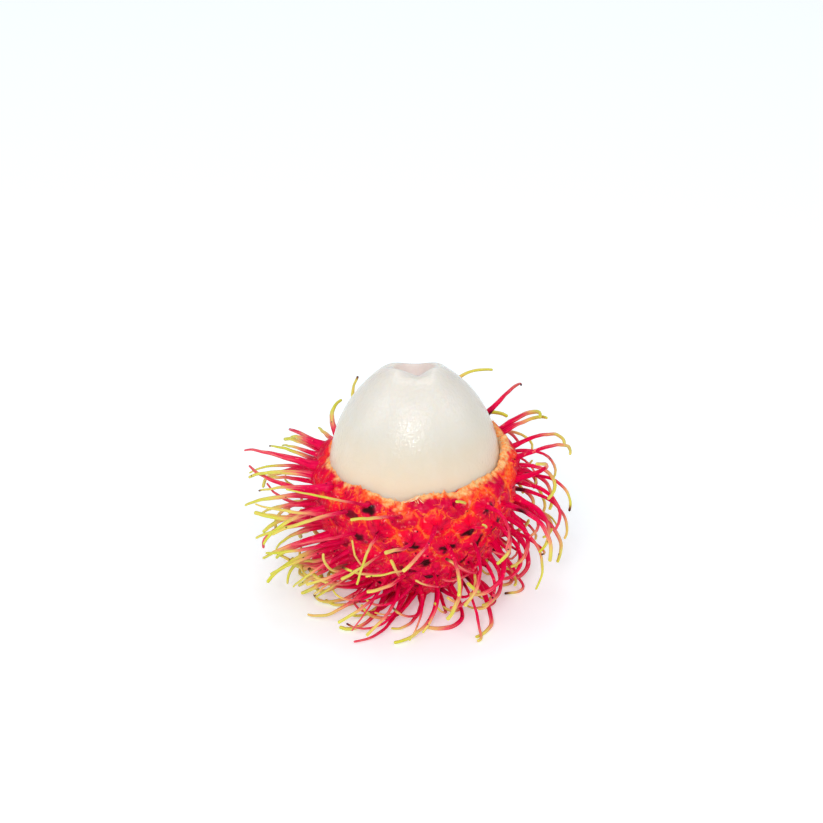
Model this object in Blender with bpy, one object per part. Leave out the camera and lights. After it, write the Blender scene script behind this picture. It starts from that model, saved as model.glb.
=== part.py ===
"""A half-peeled rambutan: a cup of spiny rind that still holds its fruit.

The peel was torn off round the middle, so the lower rind stands as a cup with
a ragged rim, and the white flesh bulges out of it. Soft curling spines grow
from the whole outside of the rind, each on its own raised pad. The origin is
the centre of the small flat spot that the rind stands on, with +Z up and the
front, where the notch in the flesh's crown runs down, towards -Y.
"""

import math
import random

import bmesh
import bpy
import numpy as np
from mathutils import Matrix, Vector

MM = 0.001

# The whole fruit's skin is an egg-shaped body, cut level where it stands.
BODY_HALF_WIDTH = 17.2 * MM
BODY_HALF_DEPTH = 16.6 * MM
BODY_HALF_HEIGHT = 22.5 * MM
REST_RADIUS = 3.2 * MM
BODY_CENTRE_Z = BODY_HALF_HEIGHT * math.sqrt(1 - (REST_RADIUS / BODY_HALF_DEPTH) ** 2)

RIND_WALL = 1.9 * MM
FLESH_GAP = 0.3 * MM
CUP_COLUMNS = 44
CUP_OUTER_ROWS = 8
OUTER_ROW_CROWDING = 1.35
CUP_INNER_ROWS = 8
INNER_FOOT_TURN = math.radians(-83)

# The torn rim: heights are over the body's middle, and each wave of the tear is
# (waves round the rim, phase, height). The rim thins to its edge.
RIM_HEIGHT = 3.7 * MM
RIM_BACK_RISE = 0.9 * MM
RIM_RIGHT_RISE = 0.7 * MM
RIM_TEARS = ((5, 1.0, 0.25 * MM), (9, 2.2, 0.38 * MM))
RIM_THINNING = 0.8 * MM
RIM_BEVEL = 1.7 * MM
# The rind leans away from the flesh on the rim's right side.
FLARE_ANGLE = math.radians(18)
FLARE_HALF_SPAN = math.radians(40)
FLARE_OUT = 1.5 * MM
FLARE_DROP = 6.5 * MM

# The flesh's crown is flattened where it slopes to the back. It has a dent there,
# wider across than from front to back, and a notch that runs forward from the dent
# between two lobes.
CROWN_HEIGHT = 21.0 * MM
CROWN_SLOPE = 0.5
CROWN_EASE = 0.45 * MM
DENT_MIDDLE = Vector((-0.5 * MM, 3.2 * MM))
DENT_HALF_WIDTH = 5.4 * MM
DENT_HALF_DEPTH = 3.9 * MM
DENT_SINK = 2.3 * MM
NOTCH_MIDDLE = Vector((0.45 * MM, -0.4 * MM))
NOTCH_HALF_WIDTH = 1.6 * MM
NOTCH_HALF_DEPTH = 2.5 * MM
NOTCH_SINK = 1.4 * MM
FLESH_COLUMNS = 48
FLESH_ROWS = 40

# Spines stand over the whole fruit at equal spacing, and the peeled ones are gone.
SEED = 11
WHOLE_FRUIT_SPINES = 210
GOLDEN_ANGLE = math.pi * (3 - math.sqrt(5))
ROOT_SCATTER = 0.6 * MM
ROOT_BELOW_RIM = 1.3 * MM
BARE_FOOT_RADIUS = 5.6 * MM
PAD_RADIUS = 2.35 * MM
PAD_SINK = 0.5 * MM
PAD_RISE = 0.95 * MM
PAD_SIDES = 6
SPINE_SIDES = 4
SPINE_LENGTH = 14.6 * MM
LENGTH_SPREAD = (0.82, 1.14)
# Values along a spine are given at its root, middle and tip.
SPINE_WIDTHS = (2.1 * MM, 0.95 * MM, 0.55 * MM)
SPINE_FLATNESS = (0.62, 0.76, 0.9)
SPINE_ROLL = 0.9
RING_SHARES = (0.0, 0.14, 0.3, 0.47, 0.64, 0.82, 1.0)
WALK_STEPS = 28

# A spine starts along the skin's outward direction with these shares of others added:
# clockwise round the fruit, upwards, and any way at all.
START_SWEEP = 0.3
START_RISE = 0.12
START_SCATTER = 0.2
# Those at the front stand up more, and those just below the rim's right side far more.
FRONT_RISE = 0.35
FRONT_SWEEP_LOSS = 0.2
RIGHT_SIDE = Vector((0.94, 0.34, 0))
LIFT_RISE = 0.8
LIFT_DEPTH = 8 * MM
LIFT_STRETCH = 0.12
# Then it curls over towards a mix of down, clockwise and any way at all.
CURL_TURN = (35, 70)
RIGHT_CURL_TURN = 45
CURL_DELAY = 1.9
CURL_DROOP = 0.5
CURL_LIFT = 1.3
CURL_SWEEP = 0.7
CURL_SCATTER = 0.55
# A spine that comes down to the floor eases off it over this height and runs outwards.
FLOOR_EASE = 2.6 * MM
FLOOR_RUN = 0.35
FLOOR_CLEARANCE = 0.55


def clear_scene():
    for obj in list(bpy.data.objects):
        bpy.data.objects.remove(obj)


def material(name, colour, roughness, coat=0.0):
    made = bpy.data.materials.new(name)
    made.use_nodes = True
    shader = made.node_tree.nodes["Principled BSDF"]
    shader.inputs["Base Color"].default_value = (*colour, 1)
    shader.inputs["Metallic"].default_value = 0.0
    shader.inputs["Roughness"].default_value = roughness
    shader.inputs["Coat Weight"].default_value = coat
    return made


def object_of(name, shape, finish):
    mesh = bpy.data.meshes.new(name)
    shape.to_mesh(mesh)
    shape.free()
    mesh.shade_smooth()
    mesh.materials.append(finish)
    obj = bpy.data.objects.new(name, mesh)
    bpy.context.scene.collection.objects.link(obj)
    return obj


# ---- The skin's shape ------------------------------------------------------


def angle_of(point):
    """The angle round +Z, from +X, at which skin_point gives this point."""
    return math.atan2(point.y / BODY_HALF_DEPTH, point.x / BODY_HALF_WIDTH)


def rim_height(angle):
    """How high the torn edge stands over the body's middle here."""
    slope = RIM_BACK_RISE * math.sin(angle) + RIM_RIGHT_RISE * math.cos(angle)
    tears = sum(high * math.sin(waves * angle + phase) for waves, phase, high in RIM_TEARS)
    return RIM_HEIGHT + slope + tears


def flare(angle, height):
    """How far the rind leans outwards here."""
    up = 1 - (rim_height(angle) - height) / FLARE_DROP
    apart = math.remainder(angle - FLARE_ANGLE, math.tau) / FLARE_HALF_SPAN
    return FLARE_OUT * max(0.0, up) ** 2 * math.exp(-(apart**2))


def skin_point(angle, height, inset=0.0):
    """The point at this height over the body's middle, on the skin or inset from it."""
    half_height = BODY_HALF_HEIGHT - inset
    share = math.sqrt(max(0.0, 1 - (height / half_height) ** 2))
    lean = flare(angle, height)
    return Vector(
        (
            ((BODY_HALF_WIDTH - inset) * share + lean) * math.cos(angle),
            ((BODY_HALF_DEPTH - inset) * share + lean) * math.sin(angle),
            BODY_CENTRE_Z + height,
        )
    )


def outward(point):
    """The skin's outward direction at a point of it."""
    return Vector(
        (
            point.x / BODY_HALF_WIDTH**2,
            point.y / BODY_HALF_DEPTH**2,
            (point.z - BODY_CENTRE_Z) / BODY_HALF_HEIGHT**2,
        )
    ).normalized()


# ---- The cup of rind -------------------------------------------------------


def extrude_ring(shape, edges, height_at, inset=0.0):
    """Extrudes a closed ring of edges onto the skin, at a height given by angle."""
    made = bmesh.ops.extrude_edge_only(shape, edges=edges)["geom"]
    for vert in (g for g in made if isinstance(g, bmesh.types.BMVert)):
        angle = angle_of(vert.co)
        vert.co = skin_point(angle, height_at(angle), inset)
    return [g for g in made if isinstance(g, bmesh.types.BMEdge)]


def outer_row_height(row):
    """The outside's rows crowd together low down, where the skin curves under."""
    share = (row / CUP_OUTER_ROWS) ** OUTER_ROW_CROWDING
    foot = -BODY_CENTRE_Z
    return lambda angle: foot + share * (rim_height(angle) - RIM_BEVEL - foot)


def inner_row_height(row):
    """The inside's rows step evenly round its curve, from the rim to the foot."""
    share = row / (CUP_INNER_ROWS - 1)
    half_height = BODY_HALF_HEIGHT - RIND_WALL

    def height_at(angle):
        rim_turn = math.asin(rim_height(angle) / half_height)
        return half_height * math.sin(rim_turn + share * (INNER_FOOT_TURN - rim_turn))

    return height_at


def cup():
    """The rind without its spines: up the outside, over the torn rim and down inside."""
    shape = bmesh.new()
    bmesh.ops.create_circle(shape, cap_ends=True, segments=CUP_COLUMNS, radius=REST_RADIUS)
    ring = list(shape.edges)
    for row in range(1, CUP_OUTER_ROWS + 1):
        ring = extrude_ring(shape, ring, outer_row_height(row))
    ring = extrude_ring(shape, ring, rim_height, RIM_THINNING)
    for row in range(CUP_INNER_ROWS):
        ring = extrude_ring(shape, ring, inner_row_height(row), RIND_WALL)
    bmesh.ops.holes_fill(shape, edges=ring)
    bmesh.ops.recalc_face_normals(shape, faces=shape.faces)
    return shape


# ---- The spines ------------------------------------------------------------


def equal_area_heights(count):
    """Heights over the body's middle that share its skin out evenly, from the crown down."""
    height = np.linspace(BODY_HALF_HEIGHT, -BODY_HALF_HEIGHT, 2001)
    radius = BODY_HALF_WIDTH * np.sqrt(1 - (height / BODY_HALF_HEIGHT) ** 2)
    strip = np.hypot(np.diff(height), np.diff(radius))
    area = np.concatenate([[0], np.cumsum(strip * (radius[1:] + radius[:-1]))])
    wanted = (np.arange(count) + 0.5) / count * area[-1]
    return np.interp(wanted, area, height).tolist()


def spine_roots():
    """(number, point on the skin) for every spine that the peeling left on the cup."""
    found = []
    for number, height in enumerate(equal_area_heights(WHOLE_FRUIT_SPINES)):
        draw = random.Random(SEED * 1000 + number)
        height += draw.uniform(-1, 1) * ROOT_SCATTER
        angle = number * GOLDEN_ANGLE + draw.uniform(-1, 1) * ROOT_SCATTER / BODY_HALF_WIDTH
        point = skin_point(angle, max(height, -BODY_CENTRE_Z))
        on_cup = height < rim_height(angle) - ROOT_BELOW_RIM
        if on_cup and math.hypot(point.x, point.y) > BARE_FOOT_RADIUS:
            found.append((number, point))
    return found


def between(values, share):
    """A value read from evenly spaced ones, so that three give a root, a middle and a tip."""
    place = share * (len(values) - 1)
    low = min(int(place), len(values) - 2)
    return values[low] + (values[low + 1] - values[low]) * (place - low)


def spine_centreline(number, root):
    """Even steps along one spine: out from the skin, then curling over as a hook."""
    draw = random.Random(SEED * 5000 + number)
    up = Vector((0, 0, 1))
    swept = Vector((root.y, -root.x, 0)).normalized()
    flat_out = Vector((root.x, root.y, 0)).normalized()
    scatter = Vector([draw.uniform(-1, 1) for _ in range(3)])
    below_rim = rim_height(angle_of(root)) - (root.z - BODY_CENTRE_Z)
    rightness = max(0.0, flat_out.dot(RIGHT_SIDE))
    frontness = max(0.0, -flat_out.y) ** 3
    lift = rightness * max(0.0, 1 - below_rim / LIFT_DEPTH)

    length = SPINE_LENGTH * draw.uniform(*LENGTH_SPREAD) * (1 + LIFT_STRETCH * lift)
    turn = math.radians(draw.uniform(*CURL_TURN) + RIGHT_CURL_TURN * rightness)
    sweep = START_SWEEP - FRONT_SWEEP_LOSS * frontness
    rise = START_RISE + LIFT_RISE * lift + FRONT_RISE * frontness
    start = outward(root) + START_SCATTER * scatter + sweep * swept + rise * up
    start.normalize()
    curl = (CURL_LIFT * lift - CURL_DROOP) * up + CURL_SWEEP * swept + CURL_SCATTER * scatter
    curl = squared_to(curl, start)

    place = root.copy()
    line = [place.copy()]
    for i in range(WALK_STEPS):
        share = (i + 0.5) / WALK_STEPS
        angle = turn * share**CURL_DELAY
        heading = math.cos(angle) * start + math.sin(angle) * curl
        clear = max(0.0, place.z - FLOOR_CLEARANCE * between(SPINE_WIDTHS, share))
        if heading.z < -clear / FLOOR_EASE:
            heading += (-clear / FLOOR_EASE - heading.z) * up + FLOOR_RUN * flat_out
        place = place + length / WALK_STEPS * heading.normalized()
        line.append(place.copy())
    return line


def squared_to(side, along):
    """The side direction turned the least way that sets it square to another."""
    return (side - side.dot(along) * along).normalized()


def ring_at(shape, centre, along, side, width, thickness, sides):
    """A closed ring of edges round a centreline, lying flat across it."""
    turn = Matrix((side, along.cross(side), along)).transposed().to_4x4()
    size = Matrix.Diagonal((width, thickness, 1, 1))
    made = bmesh.ops.create_circle(
        shape, segments=sides, radius=0.5, matrix=Matrix.Translation(centre) @ turn @ size
    )["verts"]
    return list({edge for vert in made for edge in vert.link_edges})


def spine(number, root):
    """One spine with its pad: a closed, tapering, slightly flattened tube of few sides."""
    draw = random.Random(SEED * 9000 + number)
    line = spine_centreline(number, root)
    out = outward(root)
    side = squared_to(Vector((root.y, -root.x, 0)), out)
    side = Matrix.Rotation(draw.uniform(-1, 1) * SPINE_ROLL, 3, out) @ side
    shape = bmesh.new()
    pad_width = 2 * PAD_RADIUS
    rings = [ring_at(shape, root - PAD_SINK * out, out, side, pad_width, pad_width, PAD_SIDES)]
    pad_share = PAD_RISE / SPINE_LENGTH
    for ring_share in RING_SHARES:
        share = pad_share + (1 - pad_share) * ring_share
        at = share * WALK_STEPS
        low = min(int(at), WALK_STEPS - 1)
        centre = line[low].lerp(line[low + 1], at - low)
        along = (line[min(low + 2, WALK_STEPS)] - line[max(low - 1, 0)]).normalized()
        side = squared_to(side, along)
        width = between(SPINE_WIDTHS, share)
        thickness = width * between(SPINE_FLATNESS, share)
        rings.append(ring_at(shape, centre, along, side, width, thickness, SPINE_SIDES))
    for first, second in zip(rings, rings[1:]):
        bmesh.ops.bridge_loops(shape, edges=first + second)
    bmesh.ops.holes_fill(shape, edges=rings[0] + rings[-1])
    bmesh.ops.triangulate(shape, faces=shape.faces)
    bmesh.ops.recalc_face_normals(shape, faces=shape.faces)
    for vert in shape.verts:
        vert.co.z = max(vert.co.z, 0.0)
    return shape


def fuse(base, others):
    """Joins a collection's objects to base by one Boolean union, and removes them."""
    joint = base.modifiers.new("Fuse", "BOOLEAN")
    joint.operation = "UNION"
    joint.operand_type = "COLLECTION"
    joint.collection = others
    graph = bpy.context.evaluated_depsgraph_get()
    fused = bpy.data.meshes.new_from_object(base.evaluated_get(graph))
    base.modifiers.clear()
    base.data = fused
    for obj in list(others.objects):
        bpy.data.objects.remove(obj)
    bpy.data.collections.remove(others)


def rind():
    skin = material("rind_skin", (0.72, 0.01, 0.05), roughness=0.42)
    base = object_of("rind", cup(), skin)
    spines = bpy.data.collections.new("spines")
    bpy.context.scene.collection.children.link(spines)
    for number, root in spine_roots():
        grown = object_of(f"spine_{number}", spine(number, root), skin)
        bpy.context.scene.collection.objects.unlink(grown)
        spines.objects.link(grown)
    fuse(base, spines)


# ---- The flesh -------------------------------------------------------------


def crown_height(place):
    """How high the flesh's crown stands over the body's middle at this place of an egg shape."""
    over = place.z + CROWN_SLOPE * place.y - CROWN_HEIGHT
    eased = CROWN_EASE * math.log1p(math.exp(over / CROWN_EASE))
    across = (place.x - DENT_MIDDLE.x) / DENT_HALF_WIDTH
    deep = (place.y - DENT_MIDDLE.y) / DENT_HALF_DEPTH
    dent = DENT_SINK * max(0.0, 1 - across**2 - deep**2) ** 1.5
    across = (place.x - NOTCH_MIDDLE.x) / NOTCH_HALF_WIDTH
    deep = (place.y - NOTCH_MIDDLE.y) / NOTCH_HALF_DEPTH
    notch = NOTCH_SINK * math.exp(-(across**2) - deep**2)
    return place.z - eased - dent - notch


def flesh():
    """The white flesh, an egg-shaped body that fills the cup and stands far out of it."""
    inset = RIND_WALL + FLESH_GAP
    size = (BODY_HALF_WIDTH - inset, BODY_HALF_DEPTH - inset, BODY_HALF_HEIGHT - inset)
    shape = bmesh.new()
    bmesh.ops.create_uvsphere(
        shape, u_segments=FLESH_COLUMNS, v_segments=FLESH_ROWS, radius=1
    )
    bmesh.ops.scale(shape, vec=size, verts=shape.verts)
    for vert in shape.verts:
        if vert.co.z > 0:
            vert.co.z = crown_height(vert.co)
    bmesh.ops.translate(shape, vec=(0, 0, BODY_CENTRE_Z), verts=shape.verts)
    object_of("flesh", shape, material("flesh", (0.9, 0.86, 0.74), roughness=0.3, coat=0.4))


clear_scene()
rind()
flesh()
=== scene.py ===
"""A half-peeled rambutan that stands on its spiny rind, with its white flesh bulging out."""

import math
import random

import bmesh
import bpy
import numpy as np
from mathutils import Matrix, Vector, noise


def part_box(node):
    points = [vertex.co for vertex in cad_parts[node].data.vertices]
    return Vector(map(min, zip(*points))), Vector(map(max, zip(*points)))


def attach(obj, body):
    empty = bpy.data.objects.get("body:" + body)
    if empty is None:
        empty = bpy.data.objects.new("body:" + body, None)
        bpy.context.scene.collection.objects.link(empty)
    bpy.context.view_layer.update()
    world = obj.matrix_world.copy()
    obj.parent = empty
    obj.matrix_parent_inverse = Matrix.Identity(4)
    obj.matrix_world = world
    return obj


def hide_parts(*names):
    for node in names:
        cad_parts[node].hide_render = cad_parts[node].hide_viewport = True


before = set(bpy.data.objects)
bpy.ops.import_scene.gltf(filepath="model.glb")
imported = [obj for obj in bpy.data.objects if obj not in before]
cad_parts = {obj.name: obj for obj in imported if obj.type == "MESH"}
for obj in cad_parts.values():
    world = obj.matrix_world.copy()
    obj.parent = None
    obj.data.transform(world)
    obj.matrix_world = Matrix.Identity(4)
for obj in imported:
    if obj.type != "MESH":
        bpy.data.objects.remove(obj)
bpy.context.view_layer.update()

# ---- The flesh ---------------------------------------------------------------
# The flesh is one egg-shaped body of firm, wet, half-clear jelly that grew inside the rind. Its
# crown is flattened towards the back, where it sinks in a dent, and a notch runs forward from
# the dent between two lobes. Its skin is whole, smooth and finely grained.

MM = 0.001
flesh_low, flesh_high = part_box("flesh")
# Half the height is that of the whole egg, before its crown is flattened.
FLESH_HALF_HEIGHT = 20.3 * MM
FLESH_HALF_SIZE = Vector(
    ((flesh_high[0] - flesh_low[0]) / 2, (flesh_high[1] - flesh_low[1]) / 2, FLESH_HALF_HEIGHT)
)
BODY_CENTRE_Z = flesh_low[2] + FLESH_HALF_SIZE.z

CROWN_HEIGHT = 20.35 * MM
CROWN_SLOPE = 0.45
CROWN_EASE = 0.10 * MM
DENT_MIDDLE = Vector((-0.5 * MM, 3.2 * MM))
DENT_HALF_WIDTH = 5.4 * MM
DENT_HALF_DEPTH = 3.9 * MM
DENT_SINK = 2.3 * MM
# Each lobe: its middle across the fruit and its half-width.
LOBES = ((-4.3 * MM, 3.0 * MM), (3.5 * MM, 2.4 * MM))
LOBE_RISE = 0.55 * MM
LOBE_HEIGHTS = (13 * MM, 19 * MM)
NOTCH_MIDDLE = Vector((0.45 * MM, 0.0))
NOTCH_HALF_WIDTH = 1.9 * MM
NOTCH_HALF_DEPTH = 2.2 * MM
NOTCH_SINK = 1.7 * MM
NOTCH_ROUNDING = 0.3
FLESH_WAVE = 0.09 * MM
FLESH_WAVES = 3.1
# The brow is a painted highlight: a pale band that runs all round under the crown's flat, lightening
# the ridge line and the shade below it.
CROWN_FADE = (0.05 * MM, 0.5 * MM)
BROW_HIGHLIGHT_FADE = (-1.8 * MM, -0.1 * MM)

JELLY = (0.712, 0.678, 0.592)
CLOUDY_JELLY = (0.688, 0.653, 0.558)
JELLY_FIBRE = (0.79, 0.78, 0.735)
# Painted light: the lower flesh is warmer, as red bounce light from the rind and light through the
# jelly make it.
WARM_BOUNCE_LIGHT = (0.84, 0.67, 0.47)
BOUNCE_LIGHT_HEIGHTS = (34.5 * MM, 24.5 * MM)
# Painted light: the flesh just above the rim is lighter and warmer, lifting the shade that the rim
# casts on it.
RIMSIDE_PAINTED_LIGHT = (0.81, 0.66, 0.485)
RIMSIDE_LIGHT_HEIGHTS = (28.0 * MM, 24.8 * MM)
# Painted light: the top of the flesh is lighter, as the lamps above light it more.
UPPER_PAINTED_LIGHT = (0.775, 0.745, 0.695)
UPPER_LIGHT_HEIGHTS = (31.0 * MM, 38.5 * MM)
BROW_HIGHLIGHT_WHITE = (0.90, 0.87, 0.82)
CROWN_PINK = (0.72, 0.59, 0.545)
PORE_DEPTH = 0.16 * MM


def smooth_step(low, high, value):
    """0 below low, 1 above high, and an S-shaped rise between them; value may be an array."""
    share = np.clip((value - low) / (high - low), 0, 1)
    return share * share * (3 - 2 * share)


def crown_sink(place):
    """How far an egg shape stands over the crown's flat here, is flattened, and sinks further."""
    over = place.z + CROWN_SLOPE * place.y - CROWN_HEIGHT
    flattened = CROWN_EASE * math.log1p(math.exp(over / CROWN_EASE))
    across = (place.x - DENT_MIDDLE.x) / DENT_HALF_WIDTH
    deep = (place.y - DENT_MIDDLE.y) / DENT_HALF_DEPTH
    dent = DENT_SINK * max(0.0, 1 - across**2 - deep**2) ** 1.5
    across = (place.x - NOTCH_MIDDLE.x) / NOTCH_HALF_WIDTH
    deep = (place.y - NOTCH_MIDDLE.y) / NOTCH_HALF_DEPTH
    off_notch = math.sqrt(NOTCH_ROUNDING**2 + across**2 + deep**2) - NOTCH_ROUNDING
    notch = NOTCH_SINK * math.exp(-off_notch)
    near_top = float(smooth_step(*LOBE_HEIGHTS, place.z))
    lobes = sum(math.exp(-(((place.x - middle) / half) ** 2)) for middle, half in LOBES)
    return over, flattened, dent + notch - LOBE_RISE * lobes * near_top


def object_from(name, shape, finish):
    """The finished mesh as a shown piece at the origin, shaded smooth."""
    mesh = bpy.data.meshes.new(name)
    shape.to_mesh(mesh)
    shape.free()
    mesh.shade_smooth()
    mesh.materials.append(finish)
    piece = bpy.data.objects.new(name, mesh)
    bpy.context.scene.collection.objects.link(piece)
    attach(piece, "root")
    return piece


class Finish:
    """A node material: each method adds one node and gives back its output."""

    def __init__(self, name):
        self.material = bpy.data.materials.new(name)
        self.material.use_nodes = True
        self.tree = self.material.node_tree
        self.shader = self.tree.nodes["Principled BSDF"]

    def add(self, kind, inputs=(), output=0, **settings):
        node = self.tree.nodes.new("ShaderNode" + kind)
        for name, value in settings.items():
            setattr(node, name, value)
        for name, value in dict(inputs).items():
            self.feed(node.inputs[name], value)
        return node.outputs[output]

    def feed(self, socket, value):
        if isinstance(value, bpy.types.NodeSocket):
            self.tree.links.new(value, socket)
        elif isinstance(value, tuple) and len(value) == 3 and socket.type == "RGBA":
            socket.default_value = (*value, 1)
        else:
            socket.default_value = value

    def set(self, **sockets):
        for name, value in sockets.items():
            self.feed(self.shader.inputs[name.replace("_", " ")], value)

    def place(self, stretch=(1, 1, 1)):
        """The piece's own coordinates, stretched."""
        spot = self.add("TexCoord", output="Object")
        return self.add("Mapping", {"Vector": spot, "Scale": stretch})

    def carried(self, name, output="Fac"):
        """A value that the mesh carries on its points."""
        return self.add("Attribute", output=output, attribute_name=name)

    def speckle(self, where, scale, detail=3.0, roughness=0.5):
        sizes = {"Vector": where, "Scale": scale, "Detail": detail, "Roughness": roughness}
        return self.add("TexNoise", sizes)

    def levels(self, value, low, high, to_low=0.0, to_high=1.0):
        """Spreads the stretch from low to high over the stretch from to_low to to_high."""
        bounds = {"From Min": low, "From Max": high, "To Min": to_low, "To Max": to_high}
        return self.add("MapRange", {"Value": value, **bounds})

    def math(self, operation, first, second=0.0):
        return self.add("Math", {0: first, 1: second}, operation=operation)

    def blend(self, share, first, second):
        colours = {"Factor": share, 6: first, 7: second}
        return self.add("Mix", colours, output=2, data_type="RGBA")

    def bump(self, height, distance, strength=1.0, under=None):
        sizes = {"Height": height, "Distance": distance, "Strength": strength}
        if under is not None:
            sizes["Normal"] = under
        return self.add("Bump", sizes)


def flesh_finish():
    finish = Finish("flesh_jelly")
    spot = finish.place()
    fibres = finish.speckle(finish.place((1, 1, 0.12)), 420, detail=4)
    cloud = finish.speckle(spot, 110, detail=2)
    height = finish.add("SeparateXYZ", {"Vector": spot}, output="Z")
    colour = finish.blend(finish.levels(cloud, 0.35, 0.7), JELLY, CLOUDY_JELLY)
    colour = finish.blend(finish.levels(fibres, 0.52, 0.75, 0, 0.3), colour, JELLY_FIBRE)
    # Painted bounce light: warmer low down.
    colour = finish.blend(finish.levels(height, *BOUNCE_LIGHT_HEIGHTS, 0, 0.85), colour, WARM_BOUNCE_LIGHT)
    # Painted light that lifts the shade by the rim.
    colour = finish.blend(finish.levels(height, *RIMSIDE_LIGHT_HEIGHTS), colour, RIMSIDE_PAINTED_LIGHT)
    # Painted light: lighter at the top.
    colour = finish.blend(finish.levels(height, *UPPER_LIGHT_HEIGHTS, 0, 0.8), colour, UPPER_PAINTED_LIGHT)
    # Painted highlight along the crown's edge, which also lightens the shade below the ridge.
    brow_highlight = finish.levels(finish.carried("brow_highlight"), 0, 1, 0, 0.8)
    colour = finish.blend(brow_highlight, colour, BROW_HIGHLIGHT_WHITE)
    crown = finish.levels(finish.carried("crown"), 0.1, 0.8, 0, 0.85)
    colour = finish.blend(crown, colour, CROWN_PINK)
    grain = finish.speckle(spot, 1500, detail=2, roughness=0.6)
    pores = finish.speckle(spot, 1700, detail=2)
    # The wet film over the pores breaks the lamps' reflection into small glints.
    glints = finish.bump(pores, PORE_DEPTH, 1.0)
    finish.set(
        Base_Color=colour,
        Normal=finish.bump(pores, PORE_DEPTH, 0.35),
        Roughness=finish.levels(grain, 0.3, 0.7, 0.38, 0.5),
        Subsurface_Weight=0.8,
        Subsurface_Radius=(1.0, 0.80, 0.60),
        Subsurface_Scale=0.0045,
        IOR=1.38,
        Specular_IOR_Level=0.3,
        Coat_Weight=0.6,
        Coat_Roughness=0.08,
        Coat_Normal=glints,
    )
    return finish.material


def flesh():
    shape = bmesh.new()
    crown = shape.verts.layers.float.new("crown")
    brow_highlight = shape.verts.layers.float.new("brow_highlight")
    bmesh.ops.create_icosphere(shape, subdivisions=7, radius=1)
    bmesh.ops.scale(shape, vec=FLESH_HALF_SIZE, verts=shape.verts)
    for vert in shape.verts:
        out = vert.co.normalized()
        wave = noise.noise(out * FLESH_WAVES + Vector((4, 0, 0)))
        vert.co -= FLESH_WAVE * (1 + wave) * out
        if vert.co.z > 0:
            over, flattened, sunk = crown_sink(vert.co)
            vert.co.z -= flattened + sunk
            vert[crown] = float(smooth_step(*CROWN_FADE, flattened))
            vert[brow_highlight] = float(smooth_step(*BROW_HIGHLIGHT_FADE, over))
    bmesh.ops.translate(shape, vec=(0, 0, BODY_CENTRE_Z), verts=shape.verts)
    piece = object_from("flesh_body", shape, flesh_finish())
    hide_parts("flesh")


flesh()

# ---- The rind ----------------------------------------------------------------
# The rind is one leathery peel, torn off round the middle by hand and left as a cup. A net of
# orange fibrous furrows parts its glossy crimson skin into pads, each with a spine in its middle.
# The torn edge is thin and ragged, and shows the pale orange pith under the skin.

RIND_WALL = 1.9 * MM
FLESH_GAP = 0.3 * MM
BODY_HALF_SIZE = FLESH_HALF_SIZE + Vector((1, 1, 1)) * (RIND_WALL + FLESH_GAP)
REST_RADIUS = 3.2 * MM
RIM_HEIGHT = 3.7 * MM
RIM_BACK_RISE = 0.9 * MM
RIM_RIGHT_RISE = 0.7 * MM
# Each tear: its waves round the rim, its phase and its height.
RIM_TEARS = ((5, 1.0, 0.25 * MM), (9, 2.2, 0.38 * MM))
FLARE_ANGLE = math.radians(18)
FLARE_HALF_SPAN = math.radians(40)
FLARE_OUT = 1.5 * MM
FLARE_DROP = 6.5 * MM

SEED = 11
WHOLE_FRUIT_SPINES = 210
GOLDEN_ANGLE = math.pi * (3 - math.sqrt(5))
ROOT_SCATTER = 0.6 * MM
ROOT_BELOW_RIM = 1.3 * MM
BARE_FOOT_RADIUS = 5.6 * MM

# Slimmer spines stand between the others, except on the front. They are fewer on the right and
# high up, and size is the share that they have of a full spine's width.
EXTRA_PLACES = 640
EXTRA_SHARE = 0.95
RIGHT_THINNING = 0.75
RIGHT_MIDDLE = math.radians(-25)
HIGH_THINNING = 0.25
LOW_HEIGHTS = (-5 * MM, -10 * MM)
LOW_CROWDING = 0.2
EXTRA_SIZE = (0.72, 1.0)
EXTRA_BELOW_RIM = 2.4 * MM
EXTRA_APART = 1.5 * MM
BARE_FRONT = 0.60
BARE_FRONT_HEIGHT = -8.5 * MM

RIND_COLUMNS = 448
OUTER_ROWS = 166
EDGE_ROWS = 4
INNER_ROWS = 22
INNER_CROWDING = 1.6
INNER_FOOT_TURN = math.radians(-83)
INNER_START = 0.1 * MM
INNER_TEAR_FALL = 12
INNER_WALL_RETURN = 8
# The wall thins to its edge, and the edge turns in to lie on the flesh. Where the rind is
# flared, it doesn't quite reach, and the wall behind it fills the gap lower down.
EDGE_WALL = 0.15 * MM
EDGE_INSET = 2.5 * MM
FLARED_EDGE_INSET = 2.1 * MM
FLARE_FILL = (0.2 * MM, 1.8 * MM)
LIP_REACH = 0.55
LIP_RISE = 0.12 * MM
LIP_ARCH = 0.10 * MM
LIP_DROP = 0.4
EDGE_BEVEL = 3.4 * MM
EDGE_BEVEL_CURVE = 1.6
TEAR_REACH = 2.0 * MM
# Each part of the tear: its waves over the rim and its height.
EDGE_TEARS = ((5, 0.5 * MM), (19, 0.3 * MM))
EDGE_TEETH = 46
TOOTH_HEIGHT = (0.1 * MM, 0.55 * MM)
TOOTH_HALF_WIDTH = (0.02, 0.055)
TOOTH_SINK = 0.15 * MM
FURROW_DEPTH = 0.16 * MM
FURROW_WIDTH = 0.6 * MM
FURROW_WANDER = (0.5 * MM, 0.35 * MM)
VERGE_WIDTH = 1.3 * MM
PAD_SWELL = 0.55 * MM
PAD_REACH = 3.0 * MM
CONE_RISE = 0.6 * MM
CONE_REACH = 0.95 * MM
PIT_SHIFT = 0.8 * MM
PIT_RADIUS = 1.05 * MM
PIT_DEPTH = 0.4 * MM
PIT_DARK = (1.5 * MM, 0.55 * MM)
PIT_RAGGEDNESS = 0.9 * MM
DEEP_PIT_SHARE = 0.75
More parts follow.
